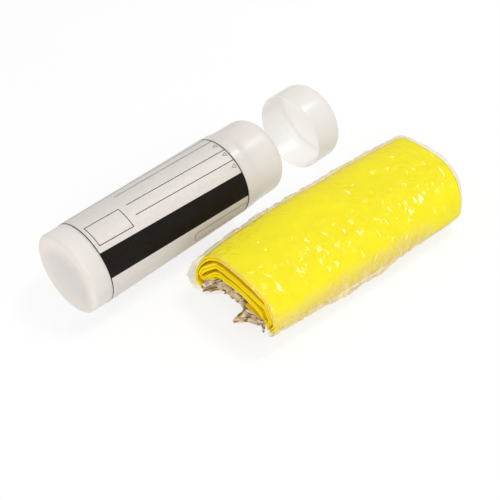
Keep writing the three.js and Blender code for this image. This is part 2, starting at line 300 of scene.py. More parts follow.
FRAME_ALONG = (100 * MM, 157.2 * MM)
FRAME_ROUND = (math.radians(177.5), math.radians(193))
EDGE_LINE_INSET = 1.0 * MM
label_start = label_low.x - tube_low.x
label_end = label_high.x - tube_low.x


def on_label(along, angle, lift):
    """Point on the label, given its distance from the tube's base and its printed angle."""
    turn = angle + LABEL_SKEW * (along - label_start) / (label_end - label_start)
    radius = LABEL_RADIUS + lift
    across, up = radius * math.cos(turn), radius * math.sin(turn)
    return (TUBE_AXIS.x + along, TUBE_AXIS.y + across, TUBE_AXIS.z + up)


def label_sheet():
    """Paper sheet with its two faces and its four edges."""
    points = []
    faces = []
    for side in (0, 1):
        for i in range(LABEL_STEPS + 1):
            share = i / LABEL_STEPS
            lift = side * LABEL_THICKNESS
            angle = LABEL_START_ANGLE + LABEL_TURN * share
            for j in range(LABEL_COLUMNS + 1):
                along = label_start + (label_end - label_start) * j / LABEL_COLUMNS
                ripple = PAPER_RIPPLE * noise.noise(Vector((along / RIPPLE_SIZE, angle * 2.5, 3.1)))
                points.append(on_label(along, angle, lift + ripple + PAPER_LIFT))
    row = LABEL_COLUMNS + 1
    layer = row * (LABEL_STEPS + 1)
    for i in range(LABEL_STEPS):
        for j in range(LABEL_COLUMNS):
            a = i * row + j
            faces.append((a, a + row, a + row + 1, a + 1))
            faces.append((layer + a, layer + a + 1, layer + a + row + 1, layer + a + row))
    for i in range(LABEL_STEPS):
        a = i * row
        b = a + LABEL_COLUMNS
        faces.append((a, layer + a, layer + a + row, a + row))
        faces.append((b, b + row, layer + b + row, layer + b))
    for j in range(LABEL_COLUMNS):
        a = j
        b = LABEL_STEPS * row + j
        faces.append((a, a + 1, layer + a + 1, layer + a))
        faces.append((b, layer + b, layer + b + 1, b + 1))
    return mesh_object("label_sheet", points, faces)


class Print:
    """Printed lines and areas that lie on the label as one thin skin of ink."""

    def __init__(self):
        self.points = []
        self.faces = []

    def area(self, along, angles, columns, rows):
        """Filled area between two distances along the tube and two angles."""
        first = len(self.points)
        for i in range(rows + 1):
            angle = angles[0] + (angles[1] - angles[0]) * i / rows
            for j in range(columns + 1):
                place = along[0] + (along[1] - along[0]) * j / columns
                self.points.append(on_label(place, angle, INK_LIFT))
        for i in range(rows):
            for j in range(columns):
                a = first + i * (columns + 1) + j
                self.faces.append((a, a + 1, a + columns + 2, a + columns + 1))

    def line(self, corners, width=RULE_WIDTH, closed=False):
        """Line of a given width along corners given as (along, angle)."""
        flat = [Vector((along, angle * LABEL_RADIUS)) for along, angle in corners]
        if closed:
            flat.append(flat[0])
        for start, end in zip(flat, flat[1:]):
            run = end - start
            aside = Vector((-run.y, run.x)).normalized() * width / 2
            tip = run.normalized() * width / 2
            steps = max(1, round(run.length / LINE_STEP))
            first = len(self.points)
            for i in range(steps + 1):
                place = (start - tip).lerp(end + tip, i / steps)
                for point in (place - aside, place + aside):
                    self.points.append(on_label(point.x, point.y / LABEL_RADIUS, INK_LIFT))
            for i in range(steps):
                a = first + 2 * i
                self.faces.append((a, a + 2, a + 3, a + 1))


def rounded_frame(along, angles, radius, steps=6):
    """Corners of a long frame with round ends, as (along, angle)."""
    low, high = angles[0] * LABEL_RADIUS, angles[1] * LABEL_RADIUS
    corners = []
    centres = [
        (along[1] - radius, high - radius, 0),
        (along[0] + radius, high - radius, math.pi / 2),
        (along[0] + radius, low + radius, math.pi),
        (along[1] - radius, low + radius, 3 * math.pi / 2),
    ]
    for x, y, start in centres:
        for i in range(steps + 1):
            angle = start + math.pi / 2 * i / steps
            round_y = y + radius * math.sin(angle)
            corners.append((x + radius * math.cos(angle), round_y / LABEL_RADIUS))
    return corners


def label_print():
    """All that is printed on the label, as one skin of ink."""
    made = Print()
    line_ends = (label_start + EDGE_LINE_INSET, label_end - EDGE_LINE_INSET)
    made.area(line_ends, BAND, 24, 32)
    for along in line_ends:
        made.line([(along, angle) for angle in PRINT_ROUND], EDGE_LINE_WIDTH)
    made.line([(line_ends[0], RULES[0]), (line_ends[1], RULES[0])])
    for angle in RULES[1:]:
        made.line([(RULE_START, angle), (line_ends[1], angle)])
    left, right = BOX_ALONG
    low, high = BOX_ROUND
    made.line([(left, low), (right, low), (right, high), (left, high)], closed=True)
    half = BULLET_SIZE / 2
    lean = half / LABEL_RADIUS
    for angle in BULLETS:
        corners = [
            (BULLET_ALONG + half, angle - lean),
            (BULLET_ALONG + half, angle + lean),
            (BULLET_ALONG - half, angle),
        ]
        made.line(corners, BULLET_LINE_WIDTH, closed=True)
    frame_corners = rounded_frame(FRAME_ALONG, FRAME_ROUND, FRAME_CORNER)
    made.line(frame_corners, FRAME_LINE_WIDTH, closed=True)
    return mesh_object("label_print", made.points, made.faces)


def coated_paper():
    """White coated paper: faintly warm, with fibre mottling, and thin enough for light to pass."""
    made, nodes, links, shader = new_material("coated_paper")
    mottle = noise_texture(nodes, links, 3.5 * MM, 4.0)
    stops = [(0.25, (0.645, 0.6, 0.57, 1)), (0.75, (0.71, 0.67, 0.635, 1))]
    links.new(ramp(nodes, links, mottle, stops), shader.inputs["Base Color"])
    fibres = noise_texture(nodes, links, 0.5 * MM, 4.0, (1, 0.4, 0.4))
    links.new(spread(nodes, links, mottle, 0.42, 0.52), shader.inputs["Roughness"])
    shader.inputs["Specular IOR Level"].default_value = 0.35
    links.new(bump(nodes, links, fibres, 0.02 * MM, 0.5), shader.inputs["Normal"])
    lit_through(nodes, links, shader.outputs["BSDF"], PAPER_PASSES)
    return made


def black_ink():
    """Black printing ink: a little uneven where it sank into the paper, glossier than the paper."""
    made, nodes, links, shader = new_material("black_ink")
    mottle = noise_texture(nodes, links, 2.2 * MM, 5.0)
    stops = [(0.3, (0.007, 0.0055, 0.0045, 1)), (0.8, (0.013, 0.0105, 0.009, 1))]
    links.new(ramp(nodes, links, mottle, stops), shader.inputs["Base Color"])
    links.new(spread(nodes, links, mottle, 0.36, 0.5), shader.inputs["Roughness"])
    shader.inputs["Specular IOR Level"].default_value = 0.12
    return made


label = label_sheet()
label.data.materials.append(coated_paper())
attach(label, "tube")
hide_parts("label")
print_skin = label_print()
print_skin.data.materials.append(black_ink())
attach(print_skin, "tube")


# Cap: a thin shallow cup of the same plastic as the tube, with a rounded end and a rounded rim. It is
# pulled off by hand and lies with its open side towards the tube's mouth.
cap_low, cap_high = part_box("cap")
CAP_HEIGHT = cap_high.x - cap_low.x
CAP_WALL = 0.8 * MM
CAP_END_THICKNESS = 1.2 * MM
CAP_EDGE_RADIUS = 8.1 * MM
CAP_RIM_ROUND = CAP_WALL / 2


def cap_profile():
    """Half section of the cap, from the middle of its end outwards, round the rim and back inside."""
    half = math.pi / 2
    inner = TUBE_RADIUS - CAP_WALL
    depth = CAP_HEIGHT - CAP_END_THICKNESS
    inner_edge = CAP_EDGE_RADIUS - CAP_WALL
    outer_centre = (TUBE_RADIUS - CAP_EDGE_RADIUS, CAP_HEIGHT - CAP_EDGE_RADIUS)
    rim = arc(TUBE_RADIUS - CAP_RIM_ROUND, CAP_RIM_ROUND, CAP_RIM_ROUND, -2 * half, 0)
    return [
        (0, CAP_HEIGHT),
        *reversed(arc(*outer_centre, CAP_EDGE_RADIUS, 0, half)),
        *reversed(rim),
        *arc(inner - inner_edge, depth - inner_edge, inner_edge, 0, half),
        (0, depth),
    ]


cap = turned("slip_on_cap", cap_profile(), Vector((cap_low.x, TUBE_AXIS.y, TUBE_AXIS.z)))
cap.data.flip_normals()
# Painted light: the cap's copy of the plastic is lighter and less yellow than the tube's, offsetting
# the yellow light the cloth throws on it.
cap_plastic = milky_plastic("milky_plastic_cap", (0.965, 0.87, 0.82, 1), (0.99, 0.905, 0.855, 1))
cap.data.materials.append(cap_plastic)
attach(cap, "cap")
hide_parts("cap")


# Cloth: a sponge-like synthetic chamois, cut 660 by 432 mm. It is folded in half, which leaves the fold
# at the near end, and then rolled flat along its length into a little over three and a half turns.
CLOTH_LENGTH = 660 * MM
CLOTH_WIDTH = 432 * MM
PLY_THICKNESS = 1.65 * MM
FOLD_GAP = 0.5 * MM
TURN_GAP = 0.5 * MM
CORE_HALF_WIDTH = 29.9 * MM
CORE_HALF_HEIGHT = 5.2 * MM
FIRST_BEND = 1.6 * MM
CLOTH_END_ANGLE = math.radians(-50)
NEAR_SETBACK = 12 * MM
SETBACK_BACK = 30 * MM
SETBACK_FRONT = 40 * MM
LEG_START = 0.6
LEG_REACH = 40 * MM
LEG_OUT = 9 * MM
LEG_TOP = 25 * MM
NEAR_PINCH = 8.5 * MM
PINCH_REACH = 26 * MM
FAR_SETBACK = 14 * MM
FAR_DRAW = 4 * MM
ROLL_YAW = math.radians(-5)
WIND_STEPS = 110
ALONG_STEPS = 46
FOLD_STEPS = 6
FOLDED_WIDTH = CLOTH_WIDTH / 2
HALF_STACK = PLY_THICKNESS + FOLD_GAP / 2
TURN_PITCH = 2 * HALF_STACK + TURN_GAP
FRONT_SLUMP = 4 * MM
DENT_SIZE = 34 * MM
DENT_DEPTH = 1.6 * MM
DENT_SHIFT = 24.8
END_WEIGHT = 12 * MM
EDGE_WANDER = 3 * MM
EDGE_WAVE = 1.8 * MM
EDGE_RUFFLE = 0.9 * MM
RUFFLE_SIZE = 6 * MM
# Painted shade on the cloth: its reach in the grooves and from the fold edge, its strength there and on
# the crease.
GROOVE_REACH = 7 * MM
FOLD_EDGE_SHADE = 0.2
CREASE_SHADE = 0.8
CUT_EDGE_ROUND = 0.45 * MM
FOLD_REACH = 3 * MM
NEAR_FADE = 30 * MM
LOOP_LOOSE = 3 * MM
FAN_START = math.radians(270)
FAN_LOW = 5 * MM
FAN_RISE = 12 * MM
FAN_DROP = 12 * MM
FAN_OUT = 5 * MM
FOLD_PUFF = 0.65
PUFF_REACH = 9 * MM
PUFF_RISE = 9 * MM


def oval_point(angle, out):
    """Place in the roll's section, a distance out from its flat oval core."""
    across = CORE_HALF_WIDTH * math.cos(angle)
    up = CORE_HALF_HEIGHT * math.sin(angle)
    reach = math.hypot(across, up)
    return (
        CORE_HALF_WIDTH * across / reach + out * math.cos(angle),
        CORE_HALF_HEIGHT * up / reach + out * math.sin(angle),
    )


def wound_length(total, samples=1500):
    """Length of cloth in a given angle of winding."""
    length = 0
    before = oval_point(CLOTH_END_ANGLE - total, FIRST_BEND)
    for i in range(1, samples + 1):
        wound = total * i / samples
        out = FIRST_BEND + TURN_PITCH * wound / (2 * math.pi)
        after = oval_point(CLOTH_END_ANGLE - total + wound, out)
        length += math.dist(before, after)
        before = after
    return length


def winding_angle():
    """Angle of winding that takes up the length of the cloth."""
    low, high = 0, 40
    for _ in range(30):
        middle = (low + high) / 2
        if wound_length(middle) < CLOTH_LENGTH:
            low = middle
        else:
            high = middle
    return (low + high) / 2


WINDING = winding_angle()
LAST_OUT = FIRST_BEND + TURN_PITCH * WINDING / (2 * math.pi)


def outermost(back):
    """How far out the cloth lies at an angle counted back from its outer end."""
    return LAST_OUT - TURN_PITCH * back / (2 * math.pi)


def even_winding(first, last, steps, out, samples=3000):
    """Angles of a winding, and the lengths wound up to each, in even steps along its flats and closer
    ones round its tight ends."""
    measure = [0]
    length = [0]
    before = oval_point(first, out)
    for i in range(1, samples + 1):
        after = oval_point(first + (last - first) * i / samples, out)
        step = math.dist(before, after)
        length.append(length[-1] + step)
        measure.append(measure[-1] + step + END_WEIGHT * (last - first) / samples)
        before = after
    angles = []
    lengths = []
    k = 0
    for i in range(steps + 1):
        goal = measure[-1] * i / steps
        while k < samples - 1 and measure[k + 1] < goal:
            k += 1
        share = (goal - measure[k]) / (measure[k + 1] - measure[k])
        angles.append(first + (last - first) * (k + share) / samples)
        lengths.append(length[k] + (length[k + 1] - length[k]) * share)
    return angles, lengths


film_low, film_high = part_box("film_wrapper")
FILM_THICKNESS = 0.5 * MM
FILM_CLEARANCE = 0.4 * MM
FILM_OVERHANG = 3 * MM
ROLL_MIDDLE = (film_high.z - film_low.z) / 2
ROLL_REACH = CORE_HALF_WIDTH + LAST_OUT
ALONG_AXIS = Vector((math.cos(ROLL_YAW), math.sin(ROLL_YAW), 0))
ACROSS_AXIS = Vector((-math.sin(ROLL_YAW), math.cos(ROLL_YAW), 0))
cloth_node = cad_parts["cloth_roll"]
ROLL_START = min(v.co.dot(ALONG_AXIS) for v in cloth_node.data.vertices)


def cloth_centre():
    """Middle of the roll across its length, from the foremost point of the CAD film."""
    film_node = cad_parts["film_wrapper"]
    foremost = min(v.co.dot(ACROSS_AXIS) for v in film_node.data.vertices)
    out = outermost(math.radians(130)) + HALF_STACK + FILM_CLEARANCE + FILM_THICKNESS
    return foremost + CORE_HALF_WIDTH + out


ROLL_CENTRE = cloth_centre()


def rolled(along, across, up):
    """Point of the lying roll. Its front slumps, its near end is pinched at the back and pushed out of
    true, its far end is drawn in by the film, and its soft sides are dented."""
    share = along / FOLDED_WIDTH
    low = max(0, -up / ROLL_MIDDLE)
    front = max(0, -across / ROLL_REACH)
    between = max(0, 1 - (across / (SETBACK_BACK if across > 0 else SETBACK_FRONT)) ** 4)
    leg = ease((across / LEG_REACH - LEG_START) / (1 - LEG_START))
    leg *= min(1, max(0, 1 - up / LEG_TOP))
    near = NEAR_SETBACK * between * low - LEG_OUT * leg
    far = FAR_DRAW + FAR_SETBACK * front * front
    along_now = along + near * (1 - share) - far * share
    if across > 0:
        widen = -NEAR_PINCH * math.exp(-max(0, along) / PINCH_REACH)
    else:
        widen = -FRONT_SLUMP * math.sin(math.pi * min(1, max(0, share))) * up / ROLL_MIDDLE
    across_now = across + widen * across / ROLL_REACH
    place = Vector((along / DENT_SIZE + DENT_SHIFT, across / DENT_SIZE, up / DENT_SIZE))
    dent_across = DENT_DEPTH * noise.noise(place)
    dent_up = DENT_DEPTH * noise.noise(place.zxy) * ease(1 + up / ROLL_MIDDLE)
    return along_now, across_now + dent_across, ROLL_MIDDLE + up + dent_up


def roll_place(along, across, up):
    """The same point in the row frame."""
    along, across, up = rolled(along, across, up)
    flat = ALONG_AXIS * (ROLL_START + along) + ACROSS_AXIS * (ROLL_CENTRE + across)
    return flat + Vector((0, 0, up))


def fold_section():
    """Outline of the folded cloth, as (distance from the fold, side): a long hairpin, creased along its
    bend."""
    inside = FOLD_GAP / 2
    edge = CUT_EDGE_ROUND
    length = FOLDED_WIDTH - HALF_STACK
    runs = [FOLDED_WIDTH - length * ease(i / ALONG_STEPS) for i in range(ALONG_STEPS + 1)]
    outline = [(FOLDED_WIDTH - edge, HALF_STACK)]
    outline += [(x, HALF_STACK) for x in runs[1:]]
    bead = HALF_STACK / 2
    for middle in (bead, -bead):
        for i in range(FOLD_STEPS + 1):
            angle = math.pi / 2 + math.pi * i / FOLD_STEPS
            outline.append((bead + bead * math.cos(angle), middle + bead * math.sin(angle)))
        if middle > 0:
            outline.pop()
    outline += [(x, -HALF_STACK) for x in reversed(runs[1:])]
    outline += [
        (FOLDED_WIDTH - edge, -HALF_STACK),
        (FOLDED_WIDTH, -HALF_STACK + edge),
        (FOLDED_WIDTH, -inside - edge),
        (FOLDED_WIDTH - edge, -inside),
        (FOLDED_WIDTH / 2, -inside),
        (HALF_STACK, -inside),
        (HALF_STACK - inside, 0),
        (HALF_STACK, inside),
        (FOLDED_WIDTH / 2, inside),
        (FOLDED_WIDTH - edge, inside),
        (FOLDED_WIDTH, inside + edge),
        (FOLDED_WIDTH, HALF_STACK - edge),
    ]
    return outline


def cloth_mesh():
    """The folded cloth, wound up. Its turns fan out and its folds puff up towards the near end."""
    outline = fold_section()
    steps = round(WINDING / (2 * math.pi) * WIND_STEPS)
    points = []
    painted_groove_shade = []
    first_angle = CLOTH_END_ANGLE - WINDING
    angles, _ = even_winding(first_angle, CLOTH_END_ANGLE, steps, LAST_OUT / 2)
    for angle in angles:
        back = CLOTH_END_ANGLE - angle
        wander = EDGE_WANDER * noise.noise(Vector((back * 0.9, 7.3, 0)))
        wave = EDGE_WAVE * noise.noise(Vector((3 * math.cos(angle), 3 * math.sin(angle), back / 16)))
        across, up = oval_point(angle, outermost(back))
        wave += EDGE_RUFFLE * noise.noise(Vector((across, up, back * RUFFLE_SIZE)) / RUFFLE_SIZE)
        if back < 2 * math.pi:
            wave = -abs(wave)
        puff = FOLD_PUFF * ease(up / PUFF_RISE)
        inner = ease(2 * (back - 2 * math.pi))
        for along, side in outline:
            near = math.exp(-along / NEAR_FADE)
            thicker = 1 + puff * math.exp(-along / PUFF_REACH) * (inner if side > 0 else 1)
            across, up = oval_point(angle, outermost(back) + side * thicker + wave * near)
            across -= LOOP_LOOSE * near * back / WINDING * max(0, across / ROLL_REACH)
            fan = near * max(0, back - FAN_START) / WINDING * ease((up + FAN_LOW) / FAN_RISE)
            along_now = along + wander * near - FAN_OUT * fan
            points.append(roll_place(along_now, across, up - FAN_DROP * fan))
            # Painted shade and bounce light: the cloth is darkened towards orange-brown in the grooves
            # between turns, along the crease of each fold and at the fold's edge at the near end.
            covered = side < 0 or back > 2 * math.pi
            groove = covered * (side / HALF_STACK) ** 2 * math.exp(-along / GROOVE_REACH)
            crease = CREASE_SHADE * (abs(side) < 0.1 * HALF_STACK)
            painted_groove_shade.append(max(groove, crease, FOLD_EDGE_SHADE * math.exp(-along / FOLD_REACH)))
    count = len(outline)
    faces = []
    for i in range(steps):
        for j in range(count):
            a = i * count + j
            b = i * count + (j + 1) % count
            faces.append((a, b, b + count, a + count))
    faces.append(tuple(range(count)))
    last = steps * count
    faces.append(tuple(last + j for j in reversed(range(count))))
    made = mesh_object("chamois_cloth", points, faces)
    made.data.flip_normals()
    marks = made.data.attributes.new("painted_groove_shade", "FLOAT", "POINT")
    marks.data.foreach_set("value", painted_groove_shade)
    return made


def attribute(nodes, name):
    """A value that the mesh carries at its points or faces."""
    made = nodes.new("ShaderNodeAttribute")
    made.attribute_name = name
    return made.outputs["Fac"]


def tinted(nodes, links, colour, tint):
    """A colour multiplied by another one."""
    made = nodes.new("ShaderNodeMix")
    made.data_type = "RGBA"
    made.blend_type = "MULTIPLY"
    made.inputs["Factor"].default_value = 1
    links.new(colour, made.inputs["A"])
    links.new(tint, made.inputs["B"])
    return made.outputs["Result"]


def chamois():
    """Bright yellow sponge cloth: fine open pores, soft mottling, painted shade in its folds and
    grooves.
    """
    made, nodes, links, shader = new_material("yellow_chamois")
    mottle = noise_texture(nodes, links, 11 * MM, 3.0)
    stops = [(0.3, (0.89, 0.785, 0.004, 1)), (0.7, (0.92, 0.835, 0.006, 1))]
    plain = ramp(nodes, links, mottle, stops)
    # Painted shade: the groove, crease and fold-edge marks darken the yellow towards orange-brown.
    stops = [(0, (1, 1, 1, 1)), (0.5, (0.98, 0.8, 0.75, 1)), (1, (0.6, 0.32, 0.22, 1))]
    depth = ramp(nodes, links, attribute(nodes, "painted_groove_shade"), stops)
    links.new(tinted(nodes, links, plain, depth), shader.inputs["Base Color"])
    pores = noise_texture(nodes, links, 0.55 * MM, 3.0)
    nap = noise_texture(nodes, links, 2.4 * MM, 3.0)
    coarse = bump(nodes, links, nap, 0.3 * MM, 0.35)
    links.new(bump(nodes, links, pores, 0.12 * MM, 0.5, coarse), shader.inputs["Normal"])
    links.new(spread(nodes, links, pores, 0.75, 0.95), shader.inputs["Roughness"])
    shader.inputs["Subsurface Weight"].default_value = 0.1
    shader.inputs["Subsurface Radius"].default_value = (1.0, 0.75, 0.1)
    shader.inputs["Subsurface Scale"].default_value = 1.5 * MM
    shader.inputs["Specular IOR Level"].default_value = 0.15
    return made


cloth = cloth_mesh()
cloth.data.materials.append(chamois())
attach(cloth, "cloth")
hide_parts("cloth_roll")


# Film wrapper: thin clear film, wound once round the roll, creased all over from handling. It is open
# at the near end, where its spare length is tucked into the roll, and gathered over the far end.
FACET_LENGTH = 2.7 * MM
FACET_WIDTH = 3.7 * MM
FACET_SHAKE = 0.48
FACET_HEIGHT = 2.3 * MM
FILM_CLOSE_ROWS = 9
FILM_STEP_ANGLE = math.radians(45)
FILM_END_DEPTH = 9 * MM
FILM_FIRST_ANGLE = math.radians(205)
FILM_LAST_ANGLE = math.radians(595)
FILM_SLACK = 0.8 * MM
FILM_SLACK_ANGLE = math.radians(36)
FILM_LAP = 0.25 * MM
FLAP_SQUARENESS = 0.45
HANG_START = 30 * MM
HANG_END = 115 * MM
HANG_EASE = 40 * MM
SIDE_CALM = 0.35
FLAP_ANGLE = math.radians(335)
FLAP_SPAN = math.radians(26)
FLAP_LENGTH = 2.5 * MM
FILM_FLARE = 6 * MM
FLARE_REACH = 9 * MM
PATCH_SIZE = 19 * MM
PATCH_LEVEL = 0.6
PATCH_SWING = 0.8
SWELL_SIZE = 30 * MM
SWELL_LEVEL = 0.45
SWELL_SWING = 0.9
HANG_SIZE = 22 * MM
HANG_LEVEL = 0.45
HANG_SWING = 0.6
OVERHANG_RANGE = (0.3, 1.4)
OVERHANG_BELOW = 0.2
OVERHANG_FADE = FOLDED_WIDTH / 8
LOOSE_HEIGHT = 0.7 * MM
SLACK_LOOSE = 0.7
VEIL_LOOSE = 0.6
EDGE_LOOSE = 0.4
END_LOOSE = 0.3
FILM_LIFT = 0.15 * MM
VEIL_TOP = math.radians(-45)
VEIL_DROP = math.radians(60)
VEIL_END = 150 * MM
VEIL_EASE = 50 * MM


def film_out(back):
    """How far out the film lies: on the outermost turn, eased down behind the cloth's outer end."""
    drop = min(1, (2 * math.pi - back) / FILM_STEP_ANGLE)
    on_cloth = outermost(back)
    return LAST_OUT + (on_cloth - LAST_OUT) * drop + HALF_STACK + FILM_CLEARANCE


def film_section(angle, along, lift):
    """Place of the film in the roll's section, lifted by its creases, and how loose it is. It clings to
    the top, stands off at the back, and its free edge hangs down to the floor in front."""
    back = (CLOTH_END_ANGLE - angle) % (2 * math.pi)
    base = film_out(back)
    slack = max(0, math.cos(angle - FILM_SLACK_ANGLE)) ** 6
    fall = angle - 3 * math.pi
    hang = ease((along - HANG_START) / HANG_EASE) * (1 - ease((along - HANG_END) / HANG_EASE))
    veil = 1 - ease((along - VEIL_END) / VEIL_EASE)
    loose = max(SLACK_LOOSE * slack, veil * ease((fall - VEIL_TOP) / VEIL_DROP))
    patches = noise.noise(Vector((along, angle * CORE_HALF_WIDTH, 0)) / PATCH_SIZE)
    patch = PATCH_LEVEL + PATCH_SWING * max(0, patches)
    patch *= SIDE_CALM + (1 - SIDE_CALM) * ease(2 * math.sin(angle) - 0.1)
    swells = noise.noise(Vector((along / SWELL_SIZE, math.cos(angle), 4.4)))
    swell = SWELL_LEVEL + SWELL_SWING * abs(swells)
    at_flap = max(0, math.cos(angle - FLAP_ANGLE)) ** 4
    flare = FILM_FLARE * math.exp(-max(0, along) / FLARE_REACH) * at_flap
    creased = lift * (FACET_HEIGHT * patch + LOOSE_HEIGHT * loose)
    off = base + creased + FILM_SLACK * swell * slack + flare
    across, up = oval_point(angle, off)
    if fall > 0:
        corner = min(fall, math.pi / 2)
        reach = CORE_HALF_WIDTH + off
        hung_across = -reach * math.cos(corner) ** FLAP_SQUARENESS
        hung_up = -ROLL_MIDDLE * math.sin(corner) ** FLAP_SQUARENESS
        share = hang * (HANG_LEVEL + HANG_SWING * noise.noise(Vector((along / HANG_SIZE, 0, 8.8))))
        across += (hung_across - across) * share - FILM_LAP
        up += (hung_up - up) * share
    return across, up, loose


def shaken_sheet(name, rows, columns, place):
    """Crumpled sheet of flat triangles between shaken corners, each placed by its row and column."""
    shake = random.Random(5)
    points = []
    for i in range(rows + 1):
        for j in range(columns + 1):
            row = i + FACET_SHAKE * shake.uniform(-1, 1) * (0 < i < rows)
            column = j + FACET_SHAKE * shake.uniform(-1, 1) * (0 < j < columns)
            points.append(place(row / rows, column / columns, shake))
    faces = []
    count = columns + 1
    for i in range(rows):
        for j in range(columns):
            a = i * count + j
            b, c, d = a + 1, a + count + 1, a + count
            faces += [(a, b, c), (a, c, d)] if shake.random() < 0.5 else [(a, b, d), (b, c, d)]
    return mesh_object(name, points, faces, smooth=False)


def film_mesh():
    """The film round the roll, with its overhang at the near end and its far end closed."""
    angles, lengths = even_winding(FILM_FIRST_ANGLE, FILM_LAST_ANGLE, 900, film_out(math.pi))
    long_rows = round(FOLDED_WIDTH / FACET_LENGTH)
    rows = long_rows + FILM_CLOSE_ROWS
    columns = round(lengths[-1] / FACET_WIDTH)

    def place(row, column, shake):
        run = lengths[-1] * column
        k = min(len(lengths) - 2, max(0, bisect.bisect(lengths, run) - 1))
        part = (run - lengths[k]) / (lengths[k + 1] - lengths[k])
        angle = angles[k] + (angles[k + 1] - angles[k]) * part
        along = FOLDED_WIDTH * row * rows / long_rows
        draw = 1.0
        if along > FOLDED_WIDTH:
            closing = (row * rows - long_rows) / FILM_CLOSE_ROWS * math.pi / 2
            along = FOLDED_WIDTH + FILM_END_DEPTH * math.sin(closing)
            draw = max(0.02, math.cos(closing))
        aside = (angle - FLAP_ANGLE + math.pi) % (2 * math.pi) - math.pi
        flap = math.exp(-(aside / FLAP_SPAN) ** 2)
        upper = OVERHANG_BELOW + (1 - OVERHANG_BELOW) * ease(1 + 1.5 * math.sin(angle))
        over = FILM_OVERHANG * shake.uniform(*OVERHANG_RANGE) * upper + FLAP_LENGTH * flap
        along -= over * max(0, 1 - along / OVERHANG_FADE)
        across, up, loose = film_section(angle, along, shake.random())
        edge = EDGE_LOOSE * ease(0.5 - along / FLARE_REACH)
        loose_flap = flap * ease(1.3 - along / FLARE_REACH)
        looseness.append(max(VEIL_LOOSE * loose, edge, loose_flap, END_LOOSE * (1 - draw)))
        point = roll_place(along, across * draw, up * draw)
        return point.x, point.y, max(FILM_LIFT, point.z)

    looseness = []
    made = shaken_sheet("film_sleeve", rows, columns, place)
    marks = made.data.attributes.new("loose", "FLOAT", "POINT")
    marks.data.foreach_set("value", looseness)
    return made


def clear_film():
    """Clear packing film: it lets what lies under it show, mirrors the room more the flatter it is
    seen, and is cloudy with creases where it is loose, in a cream-yellow that is partly painted
    light from the cloth."""
    made, nodes, links, shader = new_material("clear_film")
    shader.inputs["Base Color"].default_value = (0.96, 0.95, 0.93, 1)
    shader.inputs["Metallic"].default_value = 1.0
    shader.inputs["Roughness"].default_value = 0.17
    wrinkle = noise_texture(nodes, links, 3.0 * MM, 2.0)
    normal = bump(nodes, links, wrinkle, 0.25 * MM, 0.5)
    links.new(normal, shader.inputs["Normal"])
    slant = nodes.new("ShaderNodeLayerWeight")
    slant.inputs["Blend"].default_value = 0.5
    links.new(normal, slant.inputs["Normal"])
    loose = attribute(nodes, "loose")
    through = nodes.new("ShaderNodeBsdfTransparent")
    stops = [(0.5, (0.985, 0.98, 0.96, 1)), (1, (0.84, 0.79, 0.69, 1))]
    passed = ramp(nodes, links, slant.outputs["Facing"], stops)
    haze = ramp(nodes, links, loose, [(0.15, (1, 1, 1, 1)), (1, (0.88, 0.86, 0.8, 1))])
    links.new(tinted(nodes, links, passed, haze), through.inputs["Color"])
    # Cloud where the film is loose: partly the film's own cloudiness, partly painted light, its
    # cream-yellow standing in for the cloth's yellow light scattered in the film.
    milk = nodes.new("ShaderNodeBsdfDiffuse")
    stops = [(0.6, (0.96, 0.79, 0.36, 1)), (0.9, (0.7, 0.7, 0.66, 1))]
    links.new(ramp(nodes, links, loose, stops), milk.inputs["Color"])
    veil = ramp(nodes, links, loose, [(0.05, (0, 0, 0, 1)), (0.6, (0.8, 0.8, 0.8, 1))])
    creases = noise_texture(nodes, links, 8 * MM, 2.0, (1.3, 0.8, 0.8))
    patchy = nodes.new("ShaderNodeMath")
    patchy.operation = "MULTIPLY"
    patchy.use_clamp = True
    links.new(veil, patchy.inputs[0])
    links.new(spread(nodes, links, creases, -0.2, 1.4), patchy.inputs[1])
    cloud = patchy.outputs["Value"]
    clouded = mixed(nodes, links, cloud, through.outputs["BSDF"], milk.outputs["BSDF"])
    grey = [(0, 0.026), (0.4, 0.03), (0.6, 0.06), (0.8, 0.2), (1, 0.7)]
    mirror = ramp(nodes, links, slant.outputs["Facing"], [(at, (v, v, v, 1)) for at, v in grey])
    whole = mixed(nodes, links, mirror, clouded, shader.outputs["BSDF"])
    links.new(whole, nodes["Material Output"].inputs["Surface"])
    return made


film = film_mesh()
film.data.materials.append(clear_film())
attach(film, "wrapper")
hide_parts("film_wrapper")


# Film tail: the spare length of the film at the near end, crumpled into shards, tucked into the hollow
# of the roll and drooping out of it to the floor.
TAIL_ROWS = 12
TAIL_COLUMNS = 26
TAIL_HALF_WIDTH = 34 * MM
TAIL_TUCKED = 0.2
TAIL_TURN = 0.15
TAIL_INSIDE = 18 * MM
TAIL_INSIDE_DROP = 9 * MM
TAIL_OUT = 4 * MM
TAIL_TOP = -6 * MM
TAIL_STEP = 8 * MM
TAIL_STOOP = 7 * MM
TAIL_LOW = -17 * MM
TAIL_TIP_SIDE = -0.5
TAIL_TIP_SPAN = 0.16
TAIL_TIP_RISE = 9 * MM
TAIL_TIP_OUT = 18 * MM
TAIL_LIFT = 0.3 * MM
SHARD_HEIGHT = 5 * MM


